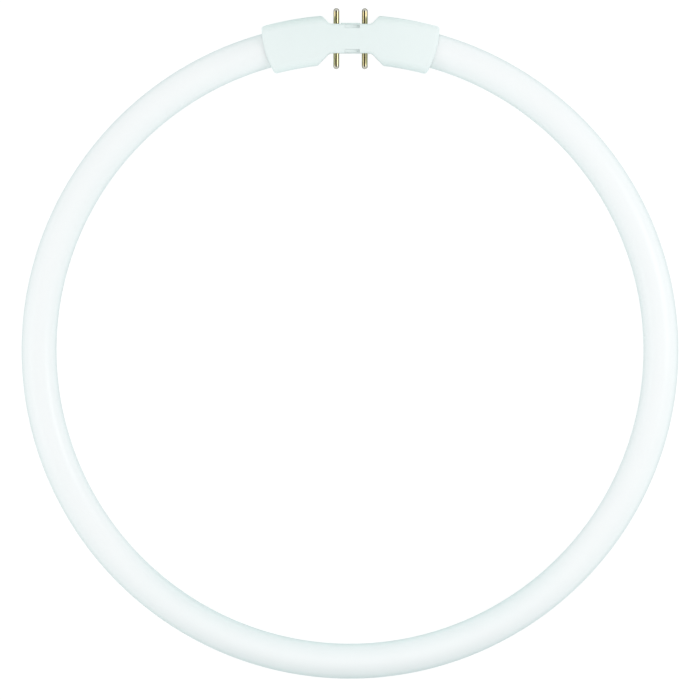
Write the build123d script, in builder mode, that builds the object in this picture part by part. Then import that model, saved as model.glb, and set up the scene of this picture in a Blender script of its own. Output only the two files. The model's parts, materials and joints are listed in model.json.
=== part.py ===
from build123d import *
from math import cos, degrees, radians, sin, tan
import os

# Circular LED tube: an opal ring tube whose two closed ends meet in a moulded four-pin cap.
# Frame: origin at the ring's centre, ring in the XY plane, cap on +Y, front face towards +Z.

# Ring and tube
RING_DIAMETER = 300.0  # across the outside of the tube
TUBE_DIAMETER = 16.0
TUBE_WALL = 1.0
TUBE_END_ROUND = 2.5

# Cap sleeves, which hold the tube's ends
CAP_LENGTH = 79.2  # along the tube's centre line
CAP_SIDE_WALL = 2.2  # beside the collar, in the ring's plane
CAP_FACE_WALL = 1.2  # before and behind the collar
CAP_CORNER_RADIUS = 3.8
CAP_EDGE_ROUND = 1.2
MOUTH_CROWN = 1.6  # how far the middle of the mouth's edge stands before its sides
MOUTH_ROUND = 1.6
MOUTH_LIP = 1.2  # length of the narrow mouth between the collar and the edge's sides
MOUTH_CLEARANCE = 0.25
STOP_CLEARANCE = 0.3  # between the tube's end and the step that stops it

# Soft collars between the tube and the sleeves
COLLAR_THICKNESS = 0.8
COLLAR_LENGTH = 8.0
COLLAR_CLEARANCE = 0.1

# Neck of the cap, which carries the pins and houses the driver
NECK_WIDTH = 13.4
NECK_LENGTH = 19.2  # flat length between the shoulders' feet
NECK_RISE = 0.3  # how far the neck's middle stands outside the tube's centre line
NECK_WALL = 1.8
NECK_FACE_WALL = 2.4
SHOULDER_ANGLE = 46.0
SHOULDER_FOOT_RADIUS = 2.5
PAD_LENGTH = 8.7  # raised pad between the outer pins
PAD_DEPTH = 8.0
PAD_HEIGHT = 0.45
PAD_CORNER_RADIUS = 1.0

# Contact pins
PIN_DIAMETER = 2.6
PIN_LENGTH = 7.2  # outside the neck
PIN_PITCH = 13.0
PIN_ROOT_DIAMETER = 3.1  # in the neck's wall
PIN_FLANGE_DIAMETER = 3.8
PIN_FLANGE_THICKNESS = 0.8
PIN_TAIL_DIAMETER = 1.2
PIN_CLEARANCE = 0.05

# Snap latches beside the neck's edges: tongues of the rear shell in windows of the front one
LATCH_OUTER_RIM = 0.5  # wall left beside the window on the neck's outer edge
LATCH_INNER_RIM = 0.3  # the same on its inner edge
LATCH_MARGIN_LEFT = 2.05  # from the pin's flange to the tongue's shallow end
LATCH_MARGIN_RIGHT = 0.55  # from the pin's flange to the tongue's deep end
LATCH_THICKNESS = 0.9
LATCH_CLEARANCE = 0.05
LATCH_BARB = 0.4
LATCH_BARB_TIP = 0.3  # height of the barb at its deep end
LATCH_LEDGE = 0.6  # wall that the barb holds
LATCH_RECESS = 0.4  # below the cap's front at the tongue's shallow end
LATCH_ROOT = 3.0  # how far the tongue reaches down into the rear shell

# Driver board and what it carries
BOARD_THICKNESS = 1.0
BOARD_STANDOFF = 2.3
BOARD_SIDE_CLEARANCE = 0.3
BOARD_END_MARGIN = 0.7  # beyond the leads at its ends
RIB_WIDTH = 1.4
RIB_INSET = 4.0  # from the board's end to the middle of the rib under it
COMPONENT_GAP = 0.7
CHOKE_DIAMETER = 6.0
CHOKE_HEIGHT = 4.4
CHOKE_FLANGE = 0.9
CHOKE_WAIST = 0.6  # depth of the winding below the flanges
CAPACITOR_DIAMETER = 4.0
CAPACITOR_HEIGHT = 5.4
CAPACITOR_ROUND = 0.4
CAPACITOR_BASE = 4.3
CAPACITOR_BASE_HEIGHT = 0.7
RECTIFIER_LENGTH = 3.8
RECTIFIER_WIDTH = 4.6
RECTIFIER_HEIGHT = 1.6
CHIP_LENGTH = 1.6
CHIP_WIDTH = 2.9
CHIP_HEIGHT = 1.1
FUSE_LENGTH = 1.2
FUSE_WIDTH = 2.4
FUSE_HEIGHT = 0.6

# Leads
LEAD_DIAMETER = 1.0
LEAD_BEND = 1.2
PIN_LEAD_RUN = 0.6  # straight length between the pin's tail and the bend
PIN_LEAD_SPACING = 2.0  # between the leads of opposite pins, where they reach the board
TUBE_LEAD_RUN = 1.5  # straight length between the tube's end and the bend
TUBE_LEAD_SPACING = 3.0
TUBE_LEAD_DROP = 1.5  # below the tube's centre line

# Derived sizes
ring_radius = (RING_DIAMETER - TUBE_DIAMETER) / 2
tube_radius = TUBE_DIAMETER / 2
collar_inner_radius = tube_radius + COLLAR_CLEARANCE
collar_outer_radius = collar_inner_radius + COLLAR_THICKNESS
pocket_radius = collar_outer_radius + COLLAR_CLEARANCE
cap_width = 2 * (pocket_radius + CAP_SIDE_WALL)
cap_depth = 2 * (pocket_radius + CAP_FACE_WALL)
cap_front = cap_depth / 2
neck_y = ring_radius + NECK_RISE
neck_edge = NECK_WIDTH / 2
cavity_width = NECK_WIDTH - 2 * NECK_WALL
cavity_edge = cavity_width / 2
cavity_front = cap_front - NECK_FACE_WALL

# Places along the board, from its middle outwards: choke, chip or fuse, pins' leads, capacitor or
# rectifier, tube's leads, board's end, tube's end
lead_radius = LEAD_DIAMETER / 2
pin_x = PIN_PITCH / 2
inner_place_x = (CHOKE_DIAMETER / 2 + pin_x - lead_radius) / 2
outer_place_length = max(CAPACITOR_BASE, RECTIFIER_LENGTH)
outer_place_x = pin_x + lead_radius + COMPONENT_GAP + outer_place_length / 2
tube_lead_x = outer_place_x + outer_place_length / 2 + COMPONENT_GAP + lead_radius
tube_lead_reach = TUBE_LEAD_RUN + LEAD_BEND
board_length = 2 * (tube_lead_x + lead_radius + BOARD_END_MARGIN)
board_width = cavity_width - 2 * BOARD_SIDE_CLEARANCE
board_bottom = BOARD_STANDOFF - cavity_front
board_top = board_bottom + BOARD_THICKNESS
tube_gap = 2 * (tube_lead_x + tube_lead_reach)


def arc_angle(length: float) -> float:
    """Angle in degrees that a length along the tube's centre line spans at the ring's centre."""
    return degrees(length / ring_radius)


def radial_plane(angle: float) -> Plane:
    """Plane through the ring's axis, turned from +Y towards +X; its x runs outwards, its y up."""
    outward = Vector(sin(radians(angle)), cos(radians(angle)), 0)
    return Plane(origin=(0, 0, 0), x_dir=outward, z_dir=outward.cross(Vector(0, 0, 1)))


def finish(piece: BuildPart, name: str) -> None:
    """Labels a finished piece and writes it as its own node."""
    piece.part.label = name
    export_step(piece.part, f"parts/{name}.step")


os.makedirs("parts", exist_ok=True)

# Tube: a blown ring with closed, rounded ends
tube_angle = arc_angle(tube_gap / 2)
void_angle = tube_angle + arc_angle(TUBE_WALL)

with BuildPart() as tube_void:
    with BuildSketch(radial_plane(-void_angle)):
        with Locations((ring_radius, 0)):
            Circle(tube_radius - TUBE_WALL)
    revolve(axis=Axis.Z, revolution_arc=360 - 2 * void_angle)
    fillet(tube_void.faces().filter_by(GeomType.PLANE).edges(), TUBE_END_ROUND - TUBE_WALL)

with BuildPart() as tube:
    with BuildSketch(radial_plane(-tube_angle)):
        with Locations((ring_radius, 0)):
            Circle(tube_radius)
    revolve(axis=Axis.Z, revolution_arc=360 - 2 * tube_angle)
    fillet(tube.faces().filter_by(GeomType.PLANE).edges(), TUBE_END_ROUND)
    add(tube_void.part, mode=Mode.SUBTRACT)
finish(tube, "tube")

# Cap: both shells as one hollow body, before it is parted
cap_angle = arc_angle(CAP_LENGTH / 2)
body_angle = cap_angle + arc_angle(MOUTH_CROWN / 2)  # before the mouths are trimmed
crown_radius = (cap_width**2 / 4 + MOUTH_CROWN**2) / (2 * MOUTH_CROWN)
pocket_angle = cap_angle - arc_angle(MOUTH_CROWN + MOUTH_LIP)
bore_angle = tube_angle - arc_angle(STOP_CLEARANCE)
cavity_length = 2 * (ring_radius + tube_radius) * sin(radians(tube_angle))
pin_places = [(side, hand) for side in (1, -1) for hand in (-1, 1)]
flange_start = cavity_edge + (NECK_WALL - PIN_FLANGE_THICKNESS) / 2
flange_stop = flange_start + PIN_FLANGE_THICKNESS
notch_rise = cap_width  # clears the sleeves' edges
notch_spread = notch_rise / tan(radians(SHOULDER_ANGLE))

with BuildPart() as cap_body:
    with BuildSketch(radial_plane(body_angle)):
        with Locations((ring_radius, 0)):
            RectangleRounded(cap_width, cap_depth, CAP_CORNER_RADIUS)
    revolve(axis=Axis.Z, revolution_arc=2 * body_angle)

    # Mouths: both ends trimmed to an arc seen from the front, then rounded
    for hand in (-1, 1):
        outward = radial_plane(hand * cap_angle).x_dir
        mouth = Plane(origin=outward * ring_radius, x_dir=outward, z_dir=(0, 0, 1))
        with BuildSketch(mouth):
            Rectangle(2 * cap_width, 4 * MOUTH_CROWN)
            with Locations((0, hand * crown_radius)):
                Circle(crown_radius, mode=Mode.SUBTRACT)
        extrude(amount=cap_depth, both=True, mode=Mode.SUBTRACT)
        fillet(cap_body.faces().sort_by_distance(mouth.origin)[0].edges(), MOUTH_ROUND)

    # Waist: a flat-bottomed notch with sloped shoulders on the outer and the inner edge
    for side in (1, -1):
        with BuildSketch(Plane.XY.offset(-cap_depth)) as waist:
            with BuildLine():
                Polyline(
                    (-NECK_LENGTH / 2, neck_y + side * neck_edge),
                    (NECK_LENGTH / 2, neck_y + side * neck_edge),
                    (NECK_LENGTH / 2 + notch_spread, neck_y + side * (neck_edge + notch_rise)),
                    (-NECK_LENGTH / 2 - notch_spread, neck_y + side * (neck_edge + notch_rise)),
                    close=True,
                )
            make_face()
            fillet(waist.vertices().sort_by_distance((0, neck_y, -cap_depth))[:2], SHOULDER_FOOT_RADIUS)
        extrude(amount=2 * cap_depth, mode=Mode.SUBTRACT)
        fillet(cap_body.edges(Select.LAST).filter_by(Axis.Z, reverse=True), CAP_EDGE_ROUND)

    # Pad that a lamp holder rests on, between the outer pins
    with BuildSketch(Plane(origin=(0, neck_y + neck_edge, 0), x_dir=(1, 0, 0), z_dir=(0, 1, 0))):
        RectangleRounded(PAD_LENGTH, PAD_DEPTH, PAD_CORNER_RADIUS)
    extrude(amount=PAD_HEIGHT)

    # Bores for the tube's ends: a narrow mouth, then the collar's wider pocket
    for radius, mouth_angle in (
        (tube_radius + MOUTH_CLEARANCE, body_angle),
        (pocket_radius, pocket_angle),
    ):
        for start_angle in (mouth_angle, -bore_angle):
            with BuildSketch(radial_plane(start_angle)):
                with Locations((ring_radius, 0)):
                    Circle(radius)
            revolve(axis=Axis.Z, revolution_arc=mouth_angle - bore_angle, mode=Mode.SUBTRACT)

    # Cavity of the neck, open to both bores
    with BuildSketch(Plane.XY):
        with Locations((0, neck_y)):
            Rectangle(cavity_length, cavity_width)
    extrude(amount=cavity_front, both=True, mode=Mode.SUBTRACT)

    # Seats of the pins, half in each shell: tail, flange and root
    for side, hand in pin_places:
        seat = Plane(origin=(hand * pin_x, neck_y, 0), x_dir=(1, 0, 0), z_dir=(0, side, 0))
        for diameter, start, stop in (
            (PIN_TAIL_DIAMETER, 0, flange_start),
            (PIN_FLANGE_DIAMETER, flange_start - PIN_CLEARANCE, flange_stop + PIN_CLEARANCE),
            (PIN_ROOT_DIAMETER, flange_start, cap_width),
        ):
            with BuildSketch(seat.offset(start)):
                Circle(diameter / 2 + PIN_CLEARANCE)
            extrude(amount=stop - start, mode=Mode.SUBTRACT)

# Latches: the tongue's place, shared by both shells
latch_rims = {1: LATCH_OUTER_RIM, -1: LATCH_INNER_RIM}
latch_left = -pin_x + PIN_FLANGE_DIAMETER / 2 + LATCH_MARGIN_LEFT
latch_right = pin_x - PIN_FLANGE_DIAMETER / 2 - LATCH_MARGIN_RIGHT
latch_middle = (latch_left + latch_right) / 2
window_length = latch_right - latch_left + 2 * LATCH_CLEARANCE
ledge_z = cavity_front + LATCH_LEDGE
barb_z = ledge_z + LATCH_CLEARANCE

with BuildPart() as cap_front_shell:
    add(cap_body.part)
    split(bisect_by=Plane.XY, keep=Keep.TOP)
    for side, rim in latch_rims.items():
        window_edge = neck_edge - rim
        for base, width in (
            (0, LATCH_THICKNESS + 2 * LATCH_CLEARANCE),
            (ledge_z, LATCH_THICKNESS + LATCH_BARB + 2 * LATCH_CLEARANCE),
        ):
            with BuildSketch(Plane.XY.offset(base)):
                with Locations((latch_middle, neck_y + side * (window_edge - width / 2))):
                    Rectangle(window_length, width)
            extrude(amount=cap_depth, mode=Mode.SUBTRACT)
finish(cap_front_shell, "cap_front_shell")

with BuildPart() as cap_rear_shell:
    add(cap_body.part)
    split(bisect_by=Plane.XY, keep=Keep.BOTTOM)
    for side, rim in latch_rims.items():
        tongue_edge = neck_edge - rim - LATCH_CLEARANCE
        for edge, depth, foot in (
            (tongue_edge, LATCH_THICKNESS, -LATCH_ROOT),
            (tongue_edge - LATCH_THICKNESS, LATCH_BARB, barb_z),
        ):
            with BuildSketch(Plane.XZ.offset(-neck_y - side * edge)):
                with BuildLine():
                    Polyline(
                        (latch_left, foot),
                        (latch_right, foot),
                        (latch_right, barb_z + LATCH_BARB_TIP),
                        (latch_left, cap_front - LATCH_RECESS),
                        close=True,
                    )
                make_face()
            extrude(amount=depth, dir=(0, -side, 0))

    # Ribs under the board
    with BuildSketch(Plane.XY.offset(-cavity_front)):
        with Locations((0, neck_y)):
            with GridLocations(board_length - 2 * RIB_INSET, 0, 2, 1):
                Rectangle(RIB_WIDTH, board_width)
    extrude(amount=BOARD_STANDOFF)
finish(cap_rear_shell, "cap_rear_shell")

# Collars
for hand, name in ((-1, "left"), (1, "right")):
    collar_angle = pocket_angle - arc_angle(COLLAR_CLEARANCE)
    collar_span = arc_angle(COLLAR_LENGTH)
    with BuildPart() as end_collar:
        with BuildSketch(radial_plane(collar_angle if hand > 0 else collar_span - collar_angle)):
            with Locations((ring_radius, 0)):
                Circle(collar_outer_radius)
                Circle(collar_inner_radius, mode=Mode.SUBTRACT)
        revolve(axis=Axis.Z, revolution_arc=collar_span)
    finish(end_collar, f"end_collar_{name}")

# Pins: turned, with a flange and a root in the wall, a domed tip outside and a thin tail inside
pin_radius = PIN_DIAMETER / 2
root_radius = PIN_ROOT_DIAMETER / 2
tail_radius = PIN_TAIL_DIAMETER / 2
flange_radius = PIN_FLANGE_DIAMETER / 2
tail_end = PIN_LEAD_SPACING / 2 + LEAD_BEND + PIN_LEAD_RUN
pin_tip = neck_edge + PIN_LENGTH

for side, hand in pin_places:
    with BuildPart() as pin:
        with BuildSketch(Plane(origin=(hand * pin_x, neck_y, 0), x_dir=(1, 0, 0), z_dir=(0, 0, side))):
            with BuildLine():
                outline = Polyline(
                    (0, pin_tip),
                    (0, tail_end),
                    (tail_radius, tail_end),
                    (tail_radius, flange_start),
                    (flange_radius, flange_start),
                    (flange_radius, flange_stop),
                    (root_radius, flange_stop),
                    (root_radius, neck_edge),
                    (pin_radius, neck_edge),
                    (pin_radius, pin_tip - pin_radius),
                )
                TangentArc(outline @ 1, outline @ 0, tangent=outline % 1)
            make_face()
        revolve(axis=Axis((hand * pin_x, neck_y, 0), (0, side, 0)))
    finish(pin, f"{'outer' if side > 0 else 'inner'}_pin_{'left' if hand < 0 else 'right'}")


def sweep_lead(name: str, plane: Plane, reach: float, drop: float) -> None:
    """Makes a lead that runs along its plane's x, bends once and drops to the board.

    Args:
        name: The lead's node.
        plane: Plane of the route, with its origin where the lead starts and y upwards.
        reach: Distance from the start to the drop.
        drop: Height of the start above the board.
    """
    with BuildPart() as lead:
        with BuildLine(plane) as route:
            FilletPolyline((0, 0), (reach, 0), (reach, -drop), radius=LEAD_BEND)
        with BuildSketch(Plane(origin=route.line @ 0, z_dir=route.line % 0)):
            Circle(lead_radius)
        sweep()
    finish(lead, name)


# Leads from the pins' tails to the board
for number, (side, hand) in enumerate(pin_places, start=1):
    tail = Plane(origin=(hand * pin_x, neck_y + side * tail_end, 0), x_dir=(0, -side, 0), z_dir=(-side, 0, 0))
    sweep_lead(f"pin_lead_{number}", tail, LEAD_BEND + PIN_LEAD_RUN, -board_top)

# Leads from the tube's closed ends to the board
tube_lead_places = [(hand, place) for hand in (-1, 1) for place in (-1, 1)]

for number, (hand, place) in enumerate(tube_lead_places, start=1):
    end_plane = radial_plane(hand * tube_angle)
    inward = end_plane.z_dir * -hand
    start = end_plane.from_local_coords((ring_radius + place * TUBE_LEAD_SPACING / 2, -TUBE_LEAD_DROP, 0))
    tube_end = Plane(origin=start, x_dir=inward, z_dir=inward.cross(Vector(0, 0, 1)))
    sweep_lead(f"tube_lead_{number}", tube_end, tube_lead_reach, -TUBE_LEAD_DROP - board_top)

# Driver board
with BuildPart() as driver_board:
    with BuildSketch(Plane.XY.offset(board_bottom)):
        with Locations((0, neck_y)):
            Rectangle(board_length, board_width)
    extrude(amount=BOARD_THICKNESS)
finish(driver_board, "driver_board")

# Components on the board
board_surface = Plane(origin=(0, neck_y, board_top))

with BuildPart() as choke:
    with BuildSketch(Plane(origin=board_surface.origin, x_dir=(1, 0, 0), z_dir=(0, -1, 0))):
        with BuildLine():
            Polyline(
                (0, 0),
                (CHOKE_DIAMETER / 2, 0),
                (CHOKE_DIAMETER / 2, CHOKE_FLANGE),
                (CHOKE_DIAMETER / 2 - CHOKE_WAIST, CHOKE_FLANGE),
                (CHOKE_DIAMETER / 2 - CHOKE_WAIST, CHOKE_HEIGHT - CHOKE_FLANGE),
                (CHOKE_DIAMETER / 2, CHOKE_HEIGHT - CHOKE_FLANGE),
                (CHOKE_DIAMETER / 2, CHOKE_HEIGHT),
                (0, CHOKE_HEIGHT),
                close=True,
            )
        make_face()
    revolve(axis=Axis(board_surface.origin, (0, 0, 1)))
finish(choke, "choke")

with BuildPart() as smoothing_capacitor:
    with BuildSketch(board_surface):
        with Locations((outer_place_x, 0)):
            Rectangle(CAPACITOR_BASE, CAPACITOR_BASE)
    extrude(amount=CAPACITOR_BASE_HEIGHT)
    with BuildSketch(board_surface):
        with Locations((outer_place_x, 0)):
            Circle(CAPACITOR_DIAMETER / 2)
    extrude(amount=CAPACITOR_HEIGHT)
    fillet(smoothing_capacitor.faces().sort_by(Axis.Z)[-1].edges(), CAPACITOR_ROUND)
finish(smoothing_capacitor, "smoothing_capacitor")

for name, place_x, length, width, height in (
    ("bridge_rectifier", -outer_place_x, RECTIFIER_LENGTH, RECTIFIER_WIDTH, RECTIFIER_HEIGHT),
    ("driver_chip", -inner_place_x, CHIP_LENGTH, CHIP_WIDTH, CHIP_HEIGHT),
    ("fuse_resistor", inner_place_x, FUSE_LENGTH, FUSE_WIDTH, FUSE_HEIGHT),
):
    with BuildPart() as component:
        with BuildSketch(board_surface):
            with Locations((place_x, 0)):
                Rectangle(length, width)
        extrude(amount=height)
    finish(component, name)
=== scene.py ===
"""Circular LED tube: an opal ring, the moulded cap that joins its ends and the cap's brass pins.

The lamp lies on a white floor, and the camera hangs straight above it.
"""

import json
import logging
import math
from abc import ABC, abstractmethod
from collections.abc import Mapping, Sequence
from dataclasses import dataclass, field
from enum import Enum
from typing import Any

import bpy
import numpy as np
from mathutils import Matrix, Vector


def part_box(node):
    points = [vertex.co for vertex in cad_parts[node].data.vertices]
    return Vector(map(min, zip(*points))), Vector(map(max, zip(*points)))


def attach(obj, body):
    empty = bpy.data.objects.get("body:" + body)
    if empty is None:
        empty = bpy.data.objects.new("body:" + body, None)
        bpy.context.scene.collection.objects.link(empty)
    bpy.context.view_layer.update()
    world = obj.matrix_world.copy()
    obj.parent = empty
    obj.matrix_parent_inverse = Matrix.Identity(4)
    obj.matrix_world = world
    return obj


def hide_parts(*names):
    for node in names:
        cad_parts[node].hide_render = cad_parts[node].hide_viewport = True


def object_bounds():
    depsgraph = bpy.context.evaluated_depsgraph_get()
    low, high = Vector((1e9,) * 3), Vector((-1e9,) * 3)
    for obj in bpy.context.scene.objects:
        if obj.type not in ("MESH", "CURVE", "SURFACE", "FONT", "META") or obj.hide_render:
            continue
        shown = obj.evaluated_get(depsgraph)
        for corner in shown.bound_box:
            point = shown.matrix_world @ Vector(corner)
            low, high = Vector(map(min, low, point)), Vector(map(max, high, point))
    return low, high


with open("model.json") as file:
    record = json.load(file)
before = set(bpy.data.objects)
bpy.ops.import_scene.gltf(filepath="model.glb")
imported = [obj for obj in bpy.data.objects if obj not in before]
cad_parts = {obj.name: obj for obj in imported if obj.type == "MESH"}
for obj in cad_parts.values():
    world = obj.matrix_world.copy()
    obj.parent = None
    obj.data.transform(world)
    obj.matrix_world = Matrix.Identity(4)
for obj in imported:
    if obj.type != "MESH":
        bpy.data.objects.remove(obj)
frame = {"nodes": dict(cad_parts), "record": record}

CAD_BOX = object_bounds()
BODY = "root"
MILLIMETRE = 0.001
TUBE_UV = "along_tube"
NOISE_MEAN = 0.5
CLOUD_DETAIL = 3.0

Colour = tuple[float, float, float]
Point = tuple[float, float, float]
WHITE: Colour = (1.0, 1.0, 1.0)
log = logging.getLogger("circular_led_tube")


# Shader graphs


class Socket:
    """An output socket; Python operators on it add Math nodes to its graph."""

    def __init__(self, graph: "Graph", socket: bpy.types.NodeSocket) -> None:
        """Wraps a socket of a graph.

        Args:
            graph: Graph that the socket's node belongs to.
            socket: Output socket to wrap.
        """
        self.graph = graph
        self.socket = socket

    def math(self, operation: str, *operands: "Socket | float") -> "Socket":
        """Adds one Math node.

        Args:
            operation: The node's operation.
            operands: Its inputs in order.

        Returns:
            The node's result.
        """
        inputs = dict(enumerate(operands))
        return self.graph.node("ShaderNodeMath", {"operation": operation}, inputs)["Value"]

    def __add__(self, other: "Socket | float") -> "Socket":
        """Sum."""
        return self.math("ADD", self, other)

    def __radd__(self, other: float) -> "Socket":
        """Sum with the number first."""
        return self.math("ADD", other, self)

    def __sub__(self, other: "Socket | float") -> "Socket":
        """Difference."""
        return self.math("SUBTRACT", self, other)

    def __rsub__(self, other: float) -> "Socket":
        """Difference with the number first."""
        return self.math("SUBTRACT", other, self)

    def __mul__(self, other: "Socket | float") -> "Socket":
        """Product."""
        return self.math("MULTIPLY", self, other)

    def __rmul__(self, other: float) -> "Socket":
        """Product with the number first."""
        return self.math("MULTIPLY", other, self)

    def __abs__(self) -> "Socket":
        """Absolute value."""
        return self.math("ABSOLUTE", self)

    def larger(self, other: "Socket | float") -> "Socket":
        """The larger of two values."""
        return self.math("MAXIMUM", self, other)

    def below(self, edge: float, blur: float) -> "Socket":
        """Mask that is 1 below an edge and falls to 0 over the blur past it.

        Args:
            edge: Value up to which the mask is 1.
            blur: Width of the fall.

        Returns:
            The mask.
        """
        settings = {"interpolation_type": "SMOOTHSTEP", "clamp": True}
        inputs = {"Value": self, "From Min": edge, "From Max": edge + blur, "To Min": 1.0, "To Max": 0.0}
        return self.graph.node("ShaderNodeMapRange", settings, inputs)["Result"]


class Node:
    """A node whose outputs are reached by name."""

    def __init__(self, graph: "Graph", node: bpy.types.Node) -> None:
        """Wraps a node of a graph.

        Args:
            graph: Graph that the node belongs to.
            node: Node to wrap.
        """
        self.graph = graph
        self.node = node

    def __getitem__(self, name: str) -> Socket:
        """The output of that name that is in use."""
        found = next(s for s in self.node.outputs if s.name == name and s.enabled)
        return Socket(self.graph, found)


Value = Socket | float | Sequence[float]


class Graph:
    """Node graph of a material or the world, emptied when it is opened."""

    def __init__(self, owner: bpy.types.Material | bpy.types.World) -> None:
        """Opens the owner's node tree.

        Args:
            owner: Material or world whose nodes are made.
        """
        owner.use_nodes = True
        self.tree = owner.node_tree
        self.tree.nodes.clear()

    def node(self, kind: str, settings: Mapping[str, object] | None = None,
             inputs: Mapping[str | int, Value] | None = None) -> Node:
        """Adds a node, sets its settings first and then its sockets.

        Args:
            kind: The node's type.
            settings: The node's own properties.
            inputs: Values or links of its input sockets, by name or place.

        Returns:
            The node.
        """
        node = self.tree.nodes.new(kind)
        for name, setting in (settings or {}).items():
            setattr(node, name, setting)
        for key, value in (inputs or {}).items():
            socket = self._input(node, key)
            if isinstance(value, Socket):
                self.tree.links.new(value.socket, socket)
            else:
                socket.default_value = value
        return Node(self, node)

    @staticmethod
    def _input(node: bpy.types.Node, key: str | int) -> bpy.types.NodeSocket:
        """The input socket in use that has that name or place."""
        if isinstance(key, int):
            return node.inputs[key]
        return next(s for s in node.inputs if s.name == key and s.enabled)

    @staticmethod
    def _opaque(colour: Value) -> Value:
        """A colour's four numbers, or its link as it is."""
        return colour if isinstance(colour, Socket) else (*colour, 1.0)

    def object_point(self) -> Socket:
        """Point on the piece, in metres in the object's frame."""
        return self.node("ShaderNodeTexCoord")["Object"]

    def axis(self, vector: Socket, name: str) -> Socket:
        """One of a vector's three numbers, by the name of its axis."""
        return self.node("ShaderNodeSeparateXYZ", None, {"Vector": vector})[name]

    def scaled(self, point: Socket, scale: Point) -> Socket:
        """Point with its axes scaled; a pattern read there is drawn out along axes with small scales."""
        return self.node("ShaderNodeMapping", None, {"Vector": point, "Scale": scale})["Vector"]

    def noise(self, point: Socket, scale: float, detail: float = 2.0, roughness: float = 0.5) -> Socket:
        """Smooth noise from 0 to 1.

        Args:
            point: Where it is read.
            scale: Cells to the metre.
            detail: Finer layers that are added.
            roughness: Weight of the finer layers.

        Returns:
            The noise's value.
        """
        inputs = {"Vector": point, "Scale": scale, "Detail": detail, "Roughness": roughness}
        return self.node("ShaderNodeTexNoise", {"noise_dimensions": "3D"}, inputs)["Fac"]

    def clouds(self, point: Socket, scale: float) -> Socket:
        """Cloudy noise, with so many cells to the metre."""
        return self.noise(point, scale, CLOUD_DETAIL)

    def mix_colour(self, factor: Value, first: Value, second: Value) -> Socket:
        """Blend of two colours.

        Args:
            factor: 0 gives the first, 1 the second.
            first: Colour or link.
            second: Colour or link.

        Returns:
            The blended colour.
        """
        inputs = {"Factor": factor, "A": self._opaque(first), "B": self._opaque(second)}
        return self.node("ShaderNodeMix", {"data_type": "RGBA"}, inputs)["Result"]

    def bump(self, height: Socket, distance: float) -> Socket:
        """Normal of a fine relief.

        Args:
            height: Relief from 0 to 1.
            distance: Real height of the relief in metres.

        Returns:
            The bent normal.
        """
        return self.node("ShaderNodeBump", None, {"Height": height, "Distance": distance})["Normal"]

    def matt(self, colour: Colour) -> Socket:
        """Shader of an even matt surface."""
        return self.node("ShaderNodeBsdfDiffuse", None, {"Color": self._opaque(colour)})["BSDF"]

    def background(self, colour: Value) -> Socket:
        """Shader of surroundings that glow in a colour."""
        return self.node("ShaderNodeBackground", None, {"Color": self._opaque(colour)})["Background"]

    def surface(self, shader: Socket) -> None:
        """Makes a shader the material's surface."""
        self.node("ShaderNodeOutputMaterial", None, {"Surface": shader})


# Finishes


@dataclass(frozen=True)
class Finish(ABC):
    """A finish: the slot name that also names its material, and its main tones."""

    slot: str
    colour: Colour
    roughness: float

    def material(self) -> bpy.types.Material:
        """Makes the finish's material.

        Returns:
            The new material.
        """
        material = bpy.data.materials.new(self.slot)
        material.diffuse_color = (*self.colour, 1.0)
        graph = Graph(material)
        graph.surface(graph.node("ShaderNodeBsdfPrincipled", None, self.inputs(graph))["BSDF"])
        return material

    @abstractmethod
    def inputs(self, graph: Graph) -> dict[str, Value]:
        """Sockets of the finish's surface shader.

        Args:
            graph: Graph of the finish's material.

        Returns:
            Values and links by socket name.
        """

    def gloss(self, noise: Socket, spread: float) -> Socket:
        """Roughness that a noise raises and lowers by up to half the spread."""
        return self.roughness + (noise - NOISE_MEAN) * spread


@dataclass(frozen=True)
class OpalGlass(Finish):
    """Opal glass: faint clouds in the white, streaks along the tube, a green rim that is painted shade at
    the silhouette as well as the clear wall's tint, and a smooth gloss.
    """

    cloud_colour: Colour = (0.904, 0.925, 0.927)
    cloud_scale: float = 45.0
    rim_tint_and_painted_shade: Colour = (0.67, 0.75, 0.745)  # painted shade: darker green where the tube turns away, partly the tint of the clear wall seen edge-on
    rim_start: float = 0.3
    rim_width: float = 0.65
    streak_scale: float = 900.0
    streak_stretch: Point = (0.02, 1.0, 1.0)
    streak_height: float = 0.004 * MILLIMETRE
    streak_gloss: float = 0.04
    wave_scale: float = 70.0
    wave_detail: float = 1.0
    wave_height: float = 0.03 * MILLIMETRE
    refraction: float = 1.5

    def inputs(self, graph: Graph) -> dict[str, Value]:
        """Sockets of opal glass: clouded white with a darker green rim of painted shade, slightly uneven
        gloss, waves and streaks.

        Args:
            graph: Graph of the finish's material.

        Returns:
            Values and links by socket name.
        """
        point = graph.object_point()
        along = graph.node("ShaderNodeUVMap", {"uv_map": TUBE_UV})["UV"]
        streaks = graph.noise(graph.scaled(along, self.streak_stretch), self.streak_scale)
        waves = graph.noise(point, self.wave_scale, self.wave_detail)
        relief = waves + streaks * (self.streak_height / self.wave_height)
        # painted shade: the base colour turns darker green as the surface turns away from the view, partly
        # the tint of the clear wall seen edge-on
        facing = graph.node("ShaderNodeLayerWeight")["Facing"]
        body = facing.below(self.rim_start, self.rim_width)
        white = graph.mix_colour(graph.clouds(point, self.cloud_scale), self.colour, self.cloud_colour)
        return {
            "Base Color": graph.mix_colour(body, self.rim_tint_and_painted_shade, white),
            "Roughness": self.gloss(streaks, self.streak_gloss),
            "IOR": self.refraction,
            "Normal": graph.bump(relief, self.wave_height),
        }


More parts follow.
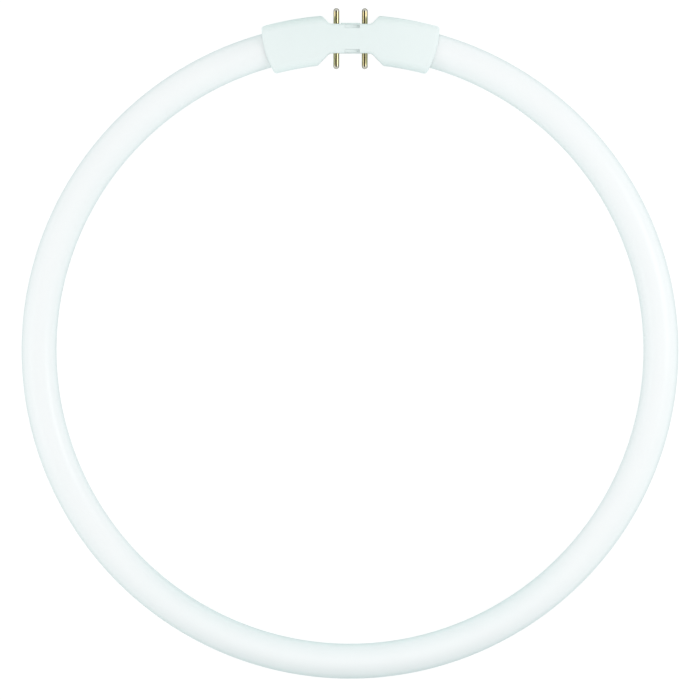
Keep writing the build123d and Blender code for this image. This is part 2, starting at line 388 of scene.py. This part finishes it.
@dataclass(frozen=True)
class MouldedPlastic(Finish):
    """Moulded white plastic: a fine matt grain, faint flow clouds and a hairline where the halves meet."""

    cloud_colour: Colour = (0.835, 0.9, 0.89)
    cloud_scale: float = 60.0
    grain_scale: float = 3500.0
    grain_height: float = 0.012 * MILLIMETRE
    grain_gloss: float = 0.16
    grain_edge: float = 0.6  # weight of the grain's finer layers
    parting_width: float = 0.09 * MILLIMETRE
    parting_depth: float = 4.0  # as a multiple of the grain's height
    parting_colour: Colour = (0.45, 0.48, 0.48)
    shine: float = 0.4

    def inputs(self, graph: Graph) -> dict[str, Value]:
        """Sockets of moulded plastic: clouded white, matt grain and the parting line at the middle plane.

        Args:
            graph: Graph of the finish's material.

        Returns:
            Values and links by socket name.
        """
        point = graph.object_point()
        parting = abs(graph.axis(point, "Z")).below(self.parting_width, self.parting_width)
        grain = graph.noise(point, self.grain_scale, roughness=self.grain_edge)
        white = graph.mix_colour(graph.clouds(point, self.cloud_scale), self.colour, self.cloud_colour)
        return {
            "Base Color": graph.mix_colour(parting, white, self.parting_colour),
            "Roughness": self.gloss(grain, self.grain_gloss),
            "Specular IOR Level": self.shine,
            "Normal": graph.bump(grain - parting * self.parting_depth, self.grain_height),
        }


@dataclass(frozen=True)
class TurnedBrass(Finish):
    """Turned brass: fine tool rings across the pin, a little tarnish and a grey tip, partly solder and
    partly a painted duller reflection.
    """

    tips: tuple[float, float]  # places of the inner and the outer tips on the Y axis, in metres
    # the tips' grey is solder and in part a painted reflection: it stands in for the duller reflection the
    # domes show
    solder_and_reflection_grey: Colour = (0.53, 0.525, 0.455)
    grey_tip_length: float = 0.8 * MILLIMETRE
    grey_tip_fade: float = 1.4 * MILLIMETRE
    tarnish_colour: Colour = (0.45, 0.385, 0.18)
    tarnish_scale: float = 700.0
    tarnish_share: float = 0.6
    tarnish_gloss: float = 0.05
    ring_scale: float = 9000.0
    ring_stretch: Point = (0.01, 1.0, 0.01)
    ring_height: float = 0.0004 * MILLIMETRE
    ring_gloss: float = 0.08
    edge_tint: Colour = (0.4, 0.36, 0.28)

    def inputs(self, graph: Graph) -> dict[str, Value]:
        """Sockets of brass: tarnished gold, grey tips, tool rings in the gloss and the relief.

        Args:
            graph: Graph of the finish's material.

        Returns:
            Values and links by socket name.
        """
        inner, outer = self.tips
        point = graph.object_point()
        rings = graph.noise(graph.scaled(point, self.ring_stretch), self.ring_scale)
        tarnish = graph.clouds(point, self.tarnish_scale)
        brass = graph.mix_colour(tarnish * self.tarnish_share, self.colour, self.tarnish_colour)
        from_tip = (outer - inner) / 2 - abs(graph.axis(point, "Y") - (outer + inner) / 2)
        # mask of the grey tips: solder, and partly a painted duller reflection
        solder_and_reflection_mask = from_tip.below(self.grey_tip_length, self.grey_tip_fade)
        return {
            "Base Color": graph.mix_colour(solder_and_reflection_mask, brass, self.solder_and_reflection_grey),
            "Metallic": 1.0,
            "Specular Tint": (*self.edge_tint, 1.0),
            "Roughness": self.gloss(rings, self.ring_gloss) + tarnish * self.tarnish_gloss,
            "Normal": graph.bump(rings, self.ring_height),
        }


@dataclass(frozen=True)
class GrainedFinish(Finish):
    """A plain part finish: one tone broken by a second in clouds, with an even grain."""

    second_colour: Colour
    cloud_scale: float
    grain_scale: float
    grain_height: float
    grain_gloss: float = 0.2
    metallic: float = 0.0

    def inputs(self, graph: Graph) -> dict[str, Value]:
        """Sockets of a grained finish: two tones in clouds and grain in gloss and relief.

        Args:
            graph: Graph of the finish's material.

        Returns:
            Values and links by socket name.
        """
        point = graph.object_point()
        clouds = graph.clouds(point, self.cloud_scale)
        grain = graph.noise(point, self.grain_scale)
        return {
            "Base Color": graph.mix_colour(clouds, self.colour, self.second_colour),
            "Metallic": self.metallic,
            "Roughness": self.gloss(grain, self.grain_gloss),
            "Normal": graph.bump(grain, self.grain_height),
        }


OPAL = OpalGlass("opal_glass", (0.928, 0.945, 0.947), 0.33)
CAP_WHITE = MouldedPlastic("cap_plastic", (0.85, 0.915, 0.905), 0.5)
BRASS = TurnedBrass("pin_brass", (0.645, 0.56, 0.325), 0.07,
                    tips=(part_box("inner_pin_left")[0][1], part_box("outer_pin_left")[1][1]))
SILICONE = GrainedFinish("collar_silicone", (0.8, 0.82, 0.81), 0.55, second_colour=(0.7, 0.73, 0.72),
                         cloud_scale=300.0, grain_scale=4000.0, grain_height=0.01 * MILLIMETRE)
LAMINATE = GrainedFinish("board_laminate", (0.03, 0.17, 0.06), 0.35, second_colour=(0.02, 0.11, 0.04),
                         cloud_scale=500.0, grain_scale=2500.0, grain_height=0.01 * MILLIMETRE)
FERRITE = GrainedFinish("choke_ferrite", (0.03, 0.03, 0.032), 0.6, second_colour=(0.05, 0.05, 0.052),
                        cloud_scale=900.0, grain_scale=6000.0, grain_height=0.01 * MILLIMETRE)
DRAWN_CAN = GrainedFinish("capacitor_can", (0.7, 0.71, 0.73), 0.28, second_colour=(0.6, 0.61, 0.63),
                          cloud_scale=600.0, grain_scale=5000.0, grain_height=0.004 * MILLIMETRE,
                          metallic=1.0)
EPOXY = GrainedFinish("component_black", (0.012, 0.012, 0.013), 0.5, second_colour=(0.02, 0.02, 0.021),
                      cloud_scale=800.0, grain_scale=7000.0, grain_height=0.008 * MILLIMETRE)
PALE_SLEEVE = GrainedFinish("pin_lead_sleeve", (0.62, 0.6, 0.52), 0.4, second_colour=(0.52, 0.5, 0.43),
                            cloud_scale=900.0, grain_scale=5000.0, grain_height=0.006 * MILLIMETRE)
RED_SLEEVE = GrainedFinish("tube_lead_sleeve", (0.35, 0.015, 0.012), 0.4, second_colour=(0.26, 0.01, 0.009),
                           cloud_scale=900.0, grain_scale=5000.0, grain_height=0.006 * MILLIMETRE)


# Surfaces


def new_object(name: str, data: bpy.types.ID) -> bpy.types.Object:
    """Puts a mesh, lamp or camera into the scene as an object.

    Args:
        name: The object's name.
        data: What it shows.

    Returns:
        The object, at the origin.
    """
    made = bpy.data.objects.new(name, data)
    bpy.context.scene.collection.objects.link(made)
    return made


def arc_points(centre: tuple[float, float], radius: float, start: float, stop: float,
               count: int) -> np.ndarray:
    """Points of a plane arc: centre plus radius times the cosine and sine of evenly spaced angles.

    Args:
        centre: The arc's centre.
        radius: Its radius.
        start: First angle in degrees.
        stop: Last angle in degrees.
        count: Number of points, both ends included.

    Returns:
        Array of shape (count, 2).
    """
    angles = np.radians(np.linspace(start, stop, count))
    return np.array(centre) + radius * np.stack((np.cos(angles), np.sin(angles)), axis=1)


def closed_loft(name: str, sections: np.ndarray, uv_map: str | None = None,
                uv: np.ndarray | None = None) -> bpy.types.Object:
    """Joins closed sections into one skin; the first and the last are single points, which close it.

    Rows of the grid are sections, columns run round them. Quads join neighbouring rows, and triangles join
    the second and the last but one row to the end points. A face's corners are places in the grid, and a
    place's column may be one past the last, which is the first column again, at the seam.

    Args:
        name: The piece's name.
        sections: Array of shape (rows, columns, 3), each row counter-clockwise seen from the last row.
        uv_map: Name of a UV map to add, if any.
        uv: Map's values of shape (rows, columns + 1, 2), with the seam's second value in the last column.

    Returns:
        The piece, at the origin with its place in its mesh.
    """
    rows, columns = sections.shape[:2]
    points = np.concatenate((sections[:1, 0], sections[1:-1].reshape(-1, 3), sections[-1:, 0]))
    starts = np.stack(np.meshgrid(np.arange(1, rows - 2), np.arange(columns), indexing="ij"), axis=-1)
    around = np.arange(columns)[:, None, None] * [0, 1]
    places = (
        starts.reshape(-1, 1, 2) + [[0, 0], [0, 1], [1, 1], [1, 0]],
        around + [[0, 0], [1, 1], [1, 0]],
        around + [[rows - 1, 0], [rows - 2, 0], [rows - 2, 1]],
    )
    faces = []
    for corners in places:
        number = 1 + (corners[..., 0] - 1) * columns + corners[..., 1] % columns
        faces += number.clip(0, len(points) - 1).tolist()
    mesh = bpy.data.meshes.new(name)
    mesh.from_pydata(points.tolist(), [], faces)
    mesh.polygons.foreach_set("use_smooth", np.ones(len(mesh.polygons), bool))
    if uv_map is not None:
        row, column = np.concatenate([corners.reshape(-1, 2) for corners in places]).T
        layer = mesh.uv_layers.new(name=uv_map)
        layer.data.foreach_set("uv", uv[row, column].ravel().astype(np.float32))
    mesh.validate()
    return new_object(name, mesh)


def place(piece: bpy.types.Object, finish: Finish, material: bpy.types.Material, *nodes: str) -> None:
    """Dresses a new piece, fixes it to the lamp and lets it stand for its solids.

    Args:
        piece: New piece in its place.
        finish: Its finish; not used.
        material: The finish's material.
        nodes: Solids that it stands for.
    """
    piece.data.materials.append(material)
    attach(piece, BODY)
    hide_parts(*nodes)
    log.info("%s: %d faces for %s", piece.name, len(piece.data.polygons), ", ".join(nodes))


def dress_solids(finish: Finish, nodes: Sequence[str]) -> None:
    """Gives solids that keep their shape a finish.

    Args:
        finish: The finish.
        nodes: Names of the solids.
    """
    material = finish.material()
    for name in nodes:
        for slot in frame["nodes"][name].material_slots:
            slot.material = material
        log.info("%s: finished as %s", name, finish.slot)


# Sub-assemblies


@dataclass
class OpalTube:
    """The ring tube: a round section carried along most of a circle, with closed and rounded ends."""

    node: str = "tube"
    end_leads: tuple[str, ...] = ("tube_lead_3", "tube_lead_4")  # they meet one of the closed ends
    end_round: float = 2.5 * MILLIMETRE
    rows: int = 720
    columns: int = 72
    round_rows: int = 10

    def build(self) -> bpy.types.Object:
        """Makes the tube's skin.

        A point is found from its distance along the ring and its angle round the section: that distance
        turns the section about the ring's middle, and the section's radius comes from the outline.

        Returns:
            The tube.
        """
        low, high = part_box(self.node)
        tube_radius = (high[2] - low[2]) / 2
        ring_radius = (high[0] - low[0]) / 2 - tube_radius
        half_length = ring_radius * (math.pi - self._end_angle(ring_radius))
        along, radius = self._outline(half_length, tube_radius).T
        around = np.linspace(0.0, 2 * math.pi, self.columns + 1)
        turn = (along / ring_radius)[:, None]
        outward = ring_radius + radius[:, None] * np.cos(around[:-1])
        up = radius[:, None] * np.sin(around[:-1])
        sections = np.stack((-outward * np.sin(turn), -outward * np.cos(turn), up), axis=-1)
        uv = np.stack(np.broadcast_arrays(along[:, None], (tube_radius * around)[None, :]), axis=-1)
        return closed_loft("opal_tube", sections, TUBE_UV, uv)

    def _end_angle(self, ring_radius: float) -> float:
        """Angle from the cap's middle to a closed end, where the leads meet it, from the leads' solids.

        Args:
            ring_radius: Radius of the tube's centre line.

        Returns:
            The angle in radians.
        """
        reach = max(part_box(lead)[1][0] for lead in self.end_leads)
        return math.asin(reach / ring_radius)

    def _outline(self, half_length: float, tube_radius: float) -> np.ndarray:
        """Outline of the straightened tube: an even run that falls along a quarter circle and a flat disc.

        Args:
            half_length: Distance along the centre line from the tube's middle to an end.
            tube_radius: Radius of the even run.

        Returns:
            Distance along the ring from the tube's middle and radius there, row by row.
        """
        corner = (half_length - self.end_round, tube_radius - self.end_round)
        quarter = arc_points(corner, self.end_round, 90.0, 0.0, self.round_rows)
        end = np.concatenate((quarter, [[half_length, 0.0]]))
        run = np.linspace(-end[0, 0], end[0, 0], self.rows)[1:-1]
        even = np.stack((run, np.full(len(run), tube_radius)), axis=1)
        return np.concatenate((end[::-1] * (-1.0, 1.0), even, end))

    def dress(self, piece: bpy.types.Object) -> None:
        """Finishes the tube in opal glass."""
        place(piece, OPAL, OPAL.material(), self.node)


class Hand(Enum):
    """Sides of the cap, seen from the front."""

    LEFT = "left"
    RIGHT = "right"


class Edge(Enum):
    """Edges of the cap's neck."""

    OUTER = "outer"
    INNER = "inner"


@dataclass
class ContactPins:
    """The turned pins: a profile spun about each pin's axis."""

    root_radius: float = 1.55 * MILLIMETRE
    flange_radius: float = 1.9 * MILLIMETRE
    flange_depth: float = 1.3 * MILLIMETRE  # from the neck's face to the flange's inner side
    flange_thickness: float = 0.8 * MILLIMETRE
    tail_radius: float = 0.6 * MILLIMETRE
    bevel: float = 0.08 * MILLIMETRE
    columns: int = 64
    shank_rows: int = 6
    dome_rows: int = 16
    sharp_angle: float = 35.0  # degrees

    def build(self) -> dict[str, bpy.types.Object]:
        """Makes every pin.

        Returns:
            Pins by the name of the solid that each stands for.
        """
        mounts = {mount["name"]: mount for mount in frame["record"]["mounts"]}
        names = [f"{edge.value}_pin_{hand.value}" for edge in Edge for hand in Hand]
        return {name: self._spin(name, mounts[name]) for name in names}

    def _spin(self, name: str, mount: Mapping[str, Any]) -> bpy.types.Object:
        """Spins the profile about one pin's axis: a point is the axis point plus its radius round the axis.

        Args:
            name: The pin's solid.
            mount: The pin's mount, which gives its shank's middle, direction, radius and length.

        Returns:
            The pin.
        """
        middle, axis = np.array(mount["pos_m"]), np.array(mount["axis"], float)
        shank_radius = mount["dims"]["r_mm"] * MILLIMETRE
        shank_length = mount["dims"]["length_mm"] * MILLIMETRE
        low, high = np.array(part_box(name))
        tail = max(float((middle - low) @ axis), float((middle - high) @ axis))
        radius, along = self._profile(shank_radius, shank_length, tail).T
        side = np.array((1.0, 0.0, 0.0))
        third = np.cross(axis, side)
        around = np.linspace(0.0, 2 * math.pi, self.columns, endpoint=False)
        ring = np.cos(around)[:, None] * side + np.sin(around)[:, None] * third
        sections = middle + along[:, None, None] * axis + radius[:, None, None] * ring
        piece = closed_loft(f"brass_{name}", sections)
        piece.data.set_sharp_from_angle(angle=math.radians(self.sharp_angle))
        return piece

    def _profile(self, shank_radius: float, shank_length: float, tail: float) -> np.ndarray:
        """Half outline of a pin: tail, flange and root in the wall, then the free shank and its round tip.

        Args:
            shank_radius: Radius of the free shank.
            shank_length: Its straight length.
            tail: Distance from the shank's middle back to the tail's end.

        Returns:
            Radius and distance along the axis from the shank's middle, row by row.
        """
        face = -shank_length / 2
        back = face - self.flange_depth
        front = back + self.flange_thickness
        stem = [
            (0.0, -tail),
            (self.tail_radius - self.bevel, -tail),
            (self.tail_radius, -tail + self.bevel),
            (self.tail_radius, back),
            (self.flange_radius - self.bevel, back),
            (self.flange_radius, back + self.bevel),
            (self.flange_radius, front - self.bevel),
            (self.flange_radius - self.bevel, front),
            (self.root_radius, front),
            (self.root_radius, face - self.bevel),
            (self.root_radius - self.bevel, face),
            (shank_radius, face),
        ]
        heights = np.linspace(face, -face, self.shank_rows)[1:-1]
        shank = np.stack((np.full(len(heights), shank_radius), heights), axis=1)
        dome = arc_points((0.0, -face), shank_radius, 0.0, 90.0, self.dome_rows)
        dome[-1, 0] = 0.0  # the cosine of 90 degrees is only nearly nothing
        return np.concatenate((stem, shank, dome))

    def dress(self, pins: Mapping[str, bpy.types.Object]) -> None:
        """Finishes the pins in brass."""
        material = BRASS.material()
        for name, piece in pins.items():
            place(piece, BRASS, material, name)


@dataclass
class Cap:
    """The cap's two moulded shells and the soft collars in their mouths."""

    shells: tuple[str, ...] = ("cap_front_shell", "cap_rear_shell")
    collars: tuple[str, ...] = ("end_collar_left", "end_collar_right")

    def dress(self) -> None:
        """Finishes the shells in moulded white and the collars in silicone."""
        dress_solids(CAP_WHITE, self.shells)
        dress_solids(SILICONE, self.collars)


@dataclass
class Driver:
    """The driver in the cap's neck: board, components and leads."""

    finishes: dict[str, Finish] = field(default_factory=lambda: {
        "driver_board": LAMINATE,
        "choke": FERRITE,
        "smoothing_capacitor": DRAWN_CAN,
        "bridge_rectifier": EPOXY,
        "driver_chip": EPOXY,
        "fuse_resistor": EPOXY,
    })
    leads: int = 4

    def dress(self) -> None:
        """Finishes each component, and the leads in their sleeves' colours."""
        for finish in dict.fromkeys(self.finishes.values()):
            dress_solids(finish, [node for node, own in self.finishes.items() if own is finish])
        numbers = range(1, self.leads + 1)
        dress_solids(PALE_SLEEVE, [f"pin_lead_{number}" for number in numbers])
        dress_solids(RED_SLEEVE, [f"tube_lead_{number}" for number in numbers])


# Studio


def flat_sheet(name: str, corner: Point, width: Point, length: Point) -> bpy.types.Object:
    """Sets up a flat sheet of the studio: its points are a corner plus shares of two edges.

    Args:
        name: The sheet's name.
        corner: One corner.
        width: Edge from that corner to the next.
        length: Edge from that corner to the last.

    Returns:
        The sheet.
    """
    shares = np.array(((0, 0), (1, 0), (1, 1), (0, 1)))
    points = np.array(corner) + shares @ np.array((width, length))
    mesh = bpy.data.meshes.new(name)
    mesh.from_pydata(points.tolist(), [], [(0, 1, 2, 3)])
    sheet = new_object(name, mesh)
    return sheet


@dataclass(frozen=True)
class Softbox:
    """A square softbox that faces the ring's middle."""

    name: str
    position: Point
    size: float
    radiance: float

    def build(self) -> None:
        """Hangs the softbox; its power is its radiance times pi times its area."""
        lamp = bpy.data.lights.new(self.name, "AREA")
        lamp.shape = "SQUARE"
        lamp.size = self.size
        lamp.energy = self.radiance * math.pi * self.size**2
        holder = new_object(self.name, lamp)
        holder.location = self.position
        holder.rotation_euler = (-Vector(self.position)).to_track_quat("-Z", "Y").to_euler()
        holder.visible_camera = False


class Ray(Enum):
    """Kinds of ray that a card can be shown to."""

    DIFFUSE = "diffuse"
    GLOSSY = "glossy"


@dataclass(frozen=True)
class Flag:
    """A dark or tinted card that takes light away; only one kind of ray sees it, and the camera doesn't."""

    name: str
    corner: Point
    width: Point
    length: Point
    colour: Colour
    ray: Ray

    def build(self) -> None:
        """Hangs the card."""
        card = flat_sheet(self.name, self.corner, self.width, self.length)
        material = bpy.data.materials.new(self.name)
        graph = Graph(material)
        graph.surface(graph.matt(self.colour))
        card.data.materials.append(material)
        card.visible_camera = card.visible_transmission = card.visible_shadow = False
        card.visible_diffuse = self.ray is Ray.DIFFUSE
        card.visible_glossy = self.ray is Ray.GLOSSY


@dataclass
class Studio:
    """White floor, pale surroundings, cards, softboxes and the camera straight above the ring."""

    floor_size: float = 14.0
    floor_bounce: Colour = (0.8, 0.92, 0.92)
    floor_shade: float = 0.16
    floor_glow: float = 0.9
    ambient: Colour = (0.89, 0.896, 0.9)
    front_ambient: Colour = (0.84, 0.893, 0.888)
    front_edge: float = -0.9  # on the Y axis of a ray's direction
    front_blur: float = 0.7
    frame_width: float = 0.31967  # what the picture's width shows at the ring
    camera_offset: tuple[float, float] = (0.0, 0.00011)
    camera_distance: float = 12.0
    camera_reach: float = 120.0  # farthest distance that is drawn
    camera_roll: float = 0.1  # degrees
    sensor_width: float = 36.0
    flags: tuple[Flag, ...] = (
        Flag("flag_over_pins", (-0.042, 0.105, 0.05), (0.056, 0.0, 0.0), (0.0, 0.075, 0.0),
             (0.015, 0.013, 0.011), Ray.GLOSSY),
        Flag("flag_under_pins", (-0.03, 0.12, -0.01), (0.06, 0.0, 0.0), (0.0, 0.05, 0.0),
             (0.08, 0.066, 0.055), Ray.GLOSSY),
        Flag("flag_behind_cap", (-0.05, 0.172, 0.0), (0.075, 0.0, 0.0), (0.0, 0.0, 0.035),
             (0.73, 0.81, 0.785), Ray.DIFFUSE),
        Flag("flag_in_front", (-0.16, -0.26, -0.01), (0.32, 0.0, 0.0), (0.0, 0.0, 0.055),
             (0.12, 0.3, 0.3), Ray.DIFFUSE),
        Flag("flag_inside_ring", (-0.08, -0.08, -0.01), (0.16, 0.0, 0.0), (0.0, 0.0, 0.06),
             (0.86, 0.96, 0.95), Ray.DIFFUSE),
        Flag("flag_below_cap", (0.002, 0.109, 0.0), (0.022, 0.0, 0.0), (0.0, 0.0, 0.035),
             (0.7, 0.78, 0.78), Ray.DIFFUSE),
    )
    softboxes: tuple[Softbox, ...] = (
        Softbox("softbox_right", (1.15, 0.28, 1.08), 0.62, 2.8),
        Softbox("softbox_left", (-1.3, -0.17, 0.7), 0.85, 0.86),
    )

    def build(self) -> None:
        """Sets up the whole studio."""
        bpy.context.scene.view_settings.view_transform = "Standard"
        self._floor()
        self._world()
        self._camera()
        for item in (*self.flags, *self.softboxes):
            item.build()

    @staticmethod
    def _by_ray(graph: Graph, lit: Socket, seen: Socket) -> Socket:
        """Shader that differs for the rays that show the background: from the camera, or by gloss or glass.

        Args:
            graph: Graph of the floor's material or the world.
            lit: Shader for the rays that light the lamp.
            seen: Shader for the rays that show the background itself.

        Returns:
            The mixed shader.
        """
        path = graph.node("ShaderNodeLightPath")
        direct = path["Is Camera Ray"].larger(path["Is Glossy Ray"]).larger(path["Is Transmission Ray"])
        return graph.node("ShaderNodeMixShader", None, {0: direct, 1: lit, 2: seen})["Shader"]

    def _floor(self) -> None:
        """Lays the floor under the cap: white where it is seen, with a soft shadow, and a pale bounce."""
        size = self.floor_size
        corner = (-size / 2, -size / 2, CAD_BOX[0][2])
        floor = flat_sheet("floor", corner, (size, 0.0, 0.0), (0.0, size, 0.0))
        material = bpy.data.materials.new("floor_white")
        graph = Graph(material)
        shaded = graph.matt((self.floor_shade,) * 3)
        glow = graph.node("ShaderNodeEmission", None, {"Strength": self.floor_glow})["Emission"]
        seen = graph.node("ShaderNodeAddShader", None, {0: shaded, 1: glow})["Shader"]
        graph.surface(self._by_ray(graph, graph.matt(self.floor_bounce), seen))
        floor.data.materials.append(material)

    def _world(self) -> None:
        """Surrounds the set with white where it is seen, and elsewhere with pale light, dimmer in front."""
        world = bpy.data.worlds.new("surroundings")
        bpy.context.scene.world = world
        graph = Graph(world)
        direction = graph.node("ShaderNodeTexCoord")["Generated"]
        front = graph.axis(direction, "Y").below(self.front_edge, self.front_blur)
        ambient = graph.background(graph.mix_colour(front, self.ambient, self.front_ambient))
        mixed = self._by_ray(graph, ambient, graph.background(WHITE))
        graph.node("ShaderNodeOutputWorld", None, {"Surface": mixed})

    def _camera(self) -> None:
        """Hangs the camera above the ring's middle with a long lens that frames the photograph's width."""
        lens = bpy.data.cameras.new("camera")
        lens.sensor_width = self.sensor_width
        lens.lens = self.sensor_width * self.camera_distance / self.frame_width
        lens.clip_end = self.camera_reach
        camera = new_object("camera", lens)
        camera.location = (*self.camera_offset, self.camera_distance)
        camera.rotation_euler.z = math.radians(self.camera_roll)
        bpy.context.scene.camera = camera


def main() -> None:
    """Builds the studio and the lamp, piece by piece."""
    logging.basicConfig(level=logging.INFO, format="%(name)s: %(message)s")
    Studio().build()
    tube = OpalTube()
    tube.dress(tube.build())
    pins = ContactPins()
    pins.dress(pins.build())
    Cap().dress()
    Driver().dress()


if __name__ == "__main__":
    main()
